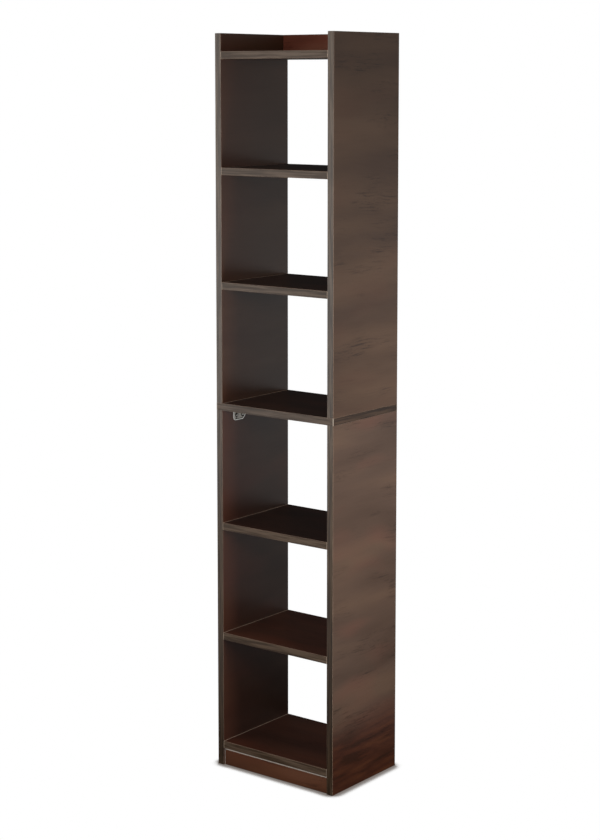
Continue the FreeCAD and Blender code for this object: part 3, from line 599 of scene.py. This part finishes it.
def spun(angle):
    """A turn about z by an angle in radians."""
    return np.array([[np.cos(angle), -np.sin(angle), 0], [np.sin(angle), np.cos(angle), 0],
                     [0, 0, 1]])


screw = screw_surface(40, 48)
places = []
for x_sign in (-1, 1):
    inward = np.array([[0, 0, -x_sign], [0, 1, 0], [x_sign, 0, 0]])
    downward = np.diag([1, -1, -1])
    for y_sign in (-1, 1):
        for number, distance in enumerate(hole_along):
            y = y_sign * (bracket_start - distance)
            angle = 0.7 * number + 1.9 * (x_sign + 1) + 0.4 * y_sign
            places.append(((x_sign * inner_face, y, joint_level - hole_drop), inward @ spun(angle)))
            places.append(((x_sign * (inner_face - hole_drop), y, joint_level),
                           downward @ spun(1.1 - angle)))
# The brackets' plate, a shade greyer; the bolts and long screws inside the boards have it too.
screw_zinc = zinc_plate("bright_zinc_on_screws", "#d2d0cb", 0.2)
points, quads = repeat(screw, places)
new_piece("pan_head_screws", points, quads, screw_zinc, "zinc_plated_screw", "bracket_screws")
dress(screw_zinc, "joint_screws", "lower_cam_bolts", "upper_cam_bolts")

# Cam locks: zinc die castings, tumbled to a dull grey, pushed into the undersides of the shelves.
# A cross driver turns each one so that the channel in its side draws in the bolt's head.


def cam_surface(turns):
    """A cam from its driver face at z = 0 up to 12.5 mm, as points of a grid of turns by rows.

    The driver face is flat with a rounded rim and a cross, two arms 1.8 mm wide and 8.4 mm long
    that get up to 2.2 mm deep towards the middle. The barrel's radius is 7.15 mm, and 3.9 mm in
    the channel, which is open over a third of a turn between heights of 5 and 10.9 mm.
    """
    barrel_radius, channel_radius, rim_radius, cross_depth = 0.00715, 0.0039, 0.0005, 0.0022
    turn = np.linspace(0, 2 * np.pi, turns, endpoint=False)
    radius, angle = np.meshgrid(barrel_radius * np.linspace(0, 1, 30), turn, indexing="ij")
    x, y = radius * np.cos(angle), radius * np.sin(angle)

    rim = np.clip((radius - barrel_radius + rim_radius) / rim_radius, 0, 1)
    level = (cross_depth * cross_recess(x, y, 0.0018, 0.0084)
             + rim_radius * (1 - np.sqrt(1 - rim ** 2)))
    face = np.stack([x, y, level], axis=-1)

    channel_start, channel_end, hair = 0.005, 0.0109, 0.0001
    height = np.array([0.0007, 0.003, channel_start - hair, channel_start + hair, 0.007, 0.009,
                       channel_end - hair, channel_end + hair, 0.012, 0.0125])
    level, angle = np.meshgrid(height, turn, indexing="ij")
    half_opening, run_out = 1.05, 0.08
    off_middle = np.abs((angle + np.pi) % (2 * np.pi) - np.pi)
    open_turn = np.clip((half_opening - off_middle) / run_out, 0, 1)
    open_height = (level > channel_start) & (level < channel_end)
    radius = barrel_radius - (barrel_radius - channel_radius) * open_turn * open_height
    barrel = np.stack([radius * np.cos(angle), radius * np.sin(angle), level], axis=-1)
    # The top closes in to the axis in three rows.
    top = barrel[-1:] * (np.array([0.6, 0.2, 0])[:, None, None] * [1, 1, 0] + [0, 0, 1])
    return np.concatenate([face, barrel, top])


# Dull grey cast metal: it shows as a soft disc in the dark underside, with a bright cross.
cam_zinc = zinc_plate("tumbled_zinc_die_casting", "#8f8f8e", 0.5)
cam = cam_surface(60)
cam_inset, cam_setback = 0.034, 0.037
for tower, levels in (("lower", (0.043, 0.319, 0.595)), ("upper", (1.187, 1.463, 1.739))):
    places = [((x_sign * (inner_face - cam_inset), y_sign * (half_depth - cam_setback), level),
               spun(0 if x_sign > 0 else np.pi))
              for level in levels for x_sign in (-1, 1) for y_sign in (-1, 1)]
    points, quads = repeat(cam, places)
    new_piece(f"cast_{tower}_cams", points, quads, cam_zinc, "die_cast_cam",
              f"{tower}_cam_locks")

# Dowels: beech pins turned from rod and glued into blind holes. They lie wholly inside the boards
# and keep them in line.

# Bare wood, whose grain the foil's noises draw as well: pale, fine in the grain and matt.
beech = espresso_foil("turned_beech", 0, ("#a98053", "#b98f62", "#c9a274", "#bd8b62"), 0.6)
dress(beech, "lower_dowels", "upper_dowels", "joint_dowels")

# The studio floor: white paper that runs on into a white background, with only the soft shade
# along the case left to see. It is a stage and no part of the case.

floor_mesh = bpy.data.meshes.new("floor")
half_floor = 3.0
floor_mesh.from_pydata([(-half_floor, -half_floor, 0), (half_floor, -half_floor, 0),
                        (half_floor, half_floor, 0), (-half_floor, half_floor, 0)],
                       [], [(0, 1, 2, 3)])
floor = bpy.data.objects.new("floor", floor_mesh)
bpy.context.collection.objects.link(floor)

# The eye sees the floor as white, shaded only close under the case. Glossy faces see it as a
# studio floor that is dim beside the case and brightens away from it.
paper, tree, output = new_material("white_paper_sweep")
path = add_node(tree, "ShaderNodeLightPath")
contact = add_node(tree, "ShaderNodeAmbientOcclusion", {"Distance": 0.03}, samples=16)
shade = add_node(tree, "ShaderNodeValToRGB", {"Fac": contact.outputs["AO"]}, stops=[
    (0.5, "#7b7470"), (0.72, "#8f8985"), (0.9, "#ffffff")]).outputs["Color"]
seen = add_node(tree, "ShaderNodeEmission", {"Color": shade, "Strength": 1.0})
place = add_node(tree, "ShaderNodeTexCoord").outputs["Object"]
distance = add_node(tree, "ShaderNodeVectorMath", {0: place}, operation="LENGTH")
full_glow = 10.0
reach = add_node(tree, "ShaderNodeMath", {0: distance.outputs["Value"], 1: full_glow},
                 operation="DIVIDE", use_clamp=True)
glow = add_node(tree, "ShaderNodeValToRGB", {"Fac": reach.outputs[0]}, stops=[
    (0.032, "#000000"), (0.075, "#949494"), (0.11, "#a7a7a7"), (0.17, "#aaaaaa"),
    (0.3, "#b5b5b5")]).outputs["Color"]
# The case's shade lies in a strip away from the large softbox.
shade_line, shade_side = (0.61, 0.78, 0.0), (0.78, -0.61, 0.0)
away = add_node(tree, "ShaderNodeVectorMath", {0: place, 1: shade_line}, operation="DOT_PRODUCT")
across = add_node(tree, "ShaderNodeVectorMath", {0: place, 1: shade_side}, operation="DOT_PRODUCT")
behind = add_node(tree, "ShaderNodeMapRange", {
    "Value": away.outputs["Value"], "From Min": 0.1, "From Max": 0.3})
aside = add_node(tree, "ShaderNodeMath", {0: across.outputs["Value"], 1: 0.13}, operation="ADD")
aside = add_node(tree, "ShaderNodeMath", {0: aside.outputs[0]}, operation="ABSOLUTE")
within = add_node(tree, "ShaderNodeMapRange", {
    "Value": aside.outputs[0], "From Min": 0.12, "From Max": 0.26, "To Min": 0.75, "To Max": 0.0})
depth = add_node(tree, "ShaderNodeMath", {0: behind.outputs[0], 1: within.outputs[0]},
                 operation="MULTIPLY")
light = add_node(tree, "ShaderNodeMath", {0: 1.0, 1: depth.outputs[0]}, operation="SUBTRACT")
mirrored = add_node(tree, "ShaderNodeEmission", {"Color": glow, "Strength": light.outputs[0]})
matte = add_node(tree, "ShaderNodeBsdfDiffuse", {"Color": (0.2, 0.2, 0.2, 1.0)})
blend = add_node(tree, "ShaderNodeMixShader", {0: path.outputs["Is Glossy Ray"],
                                              1: matte.outputs[0], 2: mirrored.outputs[0]})
blend = add_node(tree, "ShaderNodeMixShader", {0: path.outputs["Is Camera Ray"],
                                              1: blend.outputs[0], 2: seen.outputs[0]})
tree.links.new(blend.outputs[0], output.inputs["Surface"])
floor_mesh.materials.append(paper)

# The room: white to the eye, a low even light to matt faces, and to glossy ones a pale wall with
# a black flag at the back on the left, which keeps the shelves' faces dark.
world = bpy.data.worlds.new("studio")
bpy.context.scene.world = world
world.use_nodes = True
tree = world.node_tree
tree.nodes.clear()
output = add_node(tree, "ShaderNodeOutputWorld")
path = add_node(tree, "ShaderNodeLightPath")
sky = add_node(tree, "ShaderNodeTexCoord").outputs["Generated"]
flag_direction = (-0.62, 0.77, 0.15)
toward = add_node(tree, "ShaderNodeVectorMath", {0: sky, 1: flag_direction},
                  operation="DOT_PRODUCT")
flag = add_node(tree, "ShaderNodeMapRange", {
    "Value": toward.outputs["Value"], "From Min": 0.45, "From Max": 0.8,
    "To Min": 1.0, "To Max": 0.08})
parts = add_node(tree, "ShaderNodeSeparateXYZ", {0: sky})
drop = add_node(tree, "ShaderNodeMath", {0: parts.outputs["Z"], 1: -4.0}, operation="MULTIPLY")
pale = add_node(tree, "ShaderNodeValToRGB", {"Fac": drop.outputs[0]}, stops=[
    (0.0, "#8a8a8a"), (0.18, "#909090"), (0.34, "#ececec"), (0.5, "#e6e6e6"),
    (0.72, "#b8b8b8")]).outputs["Color"]
wall = add_node(tree, "ShaderNodeBackground", {"Color": pale, "Strength": flag.outputs[0]})
room = add_node(tree, "ShaderNodeBackground", {"Color": (1, 1, 1, 1), "Strength": 0.17})
white = add_node(tree, "ShaderNodeBackground", {"Color": (1, 1, 1, 1), "Strength": 1.0})
blend = add_node(tree, "ShaderNodeMixShader", {0: path.outputs["Is Glossy Ray"],
                                              1: room.outputs[0], 2: wall.outputs[0]})
blend = add_node(tree, "ShaderNodeMixShader", {0: path.outputs["Is Camera Ray"],
                                              1: blend.outputs[0], 2: white.outputs[0]})
tree.links.new(blend.outputs[0], output.inputs["Surface"])

# Lamps: a large softbox in front on the left, which the front edges mirror, a small one high in
# front, and one on the right that is flagged off from mirror images.


def softbox(name, place, target, size, watts, mirrored=True):
    """A rectangular, slightly warm area lamp that looks from its place at a target.

    The axis of the lamp is turned up from straight down by the slope to the target, then about z.
    mirrored says whether glossy faces show its image.
    """
    lamp = bpy.data.lights.new(name, "AREA")
    lamp.shape, lamp.size, lamp.size_y, lamp.energy = "RECTANGLE", *size, watts
    lamp.color = (1.0, 0.97, 0.93)
    box = bpy.data.objects.new(name, lamp)
    bpy.context.collection.objects.link(box)
    box.location, box.visible_glossy = place, mirrored
    aim = np.array(target) - np.array(place)
    flat = np.hypot(aim[0], aim[1])
    box.rotation_euler = (np.pi / 2 + np.arctan2(aim[2], flat), 0, np.arctan2(-aim[0], aim[1]))


softbox("front_softbox", (-1.95, -2.45, 1.13), (0, 0, 1.08), (1.5, 1.84), 22.2)
softbox("key_softbox", (0.35, -1.6, 1.7), (0, 0, 1.0), (0.8, 0.5), 9)
softbox("side_softbox", (1.25, -0.1, 0.75), (0.18, 0, 0.75), (0.5, 0.6), 12, mirrored=False)

# Camera: an 81 mm lens in front of the case on the right, a little below the top shelf and tipped
# down. The lens is shifted as well, which keeps the uprights nearly parallel.

camera = bpy.data.cameras.new("camera")
camera.lens, camera.sensor_width, camera.shift_y = 80.75, 36.0, -0.15
camera.clip_end = 100.0
viewer = bpy.data.objects.new("camera", camera)
bpy.context.collection.objects.link(viewer)
viewer.location = (2.766, -3.5746, 1.691)
tip_down, turn_left = 6.503, 37.94
viewer.rotation_euler = np.radians((90 - tip_down, 0, turn_left))
bpy.context.scene.camera = viewer
bpy.context.scene.view_settings.view_transform = "Standard"
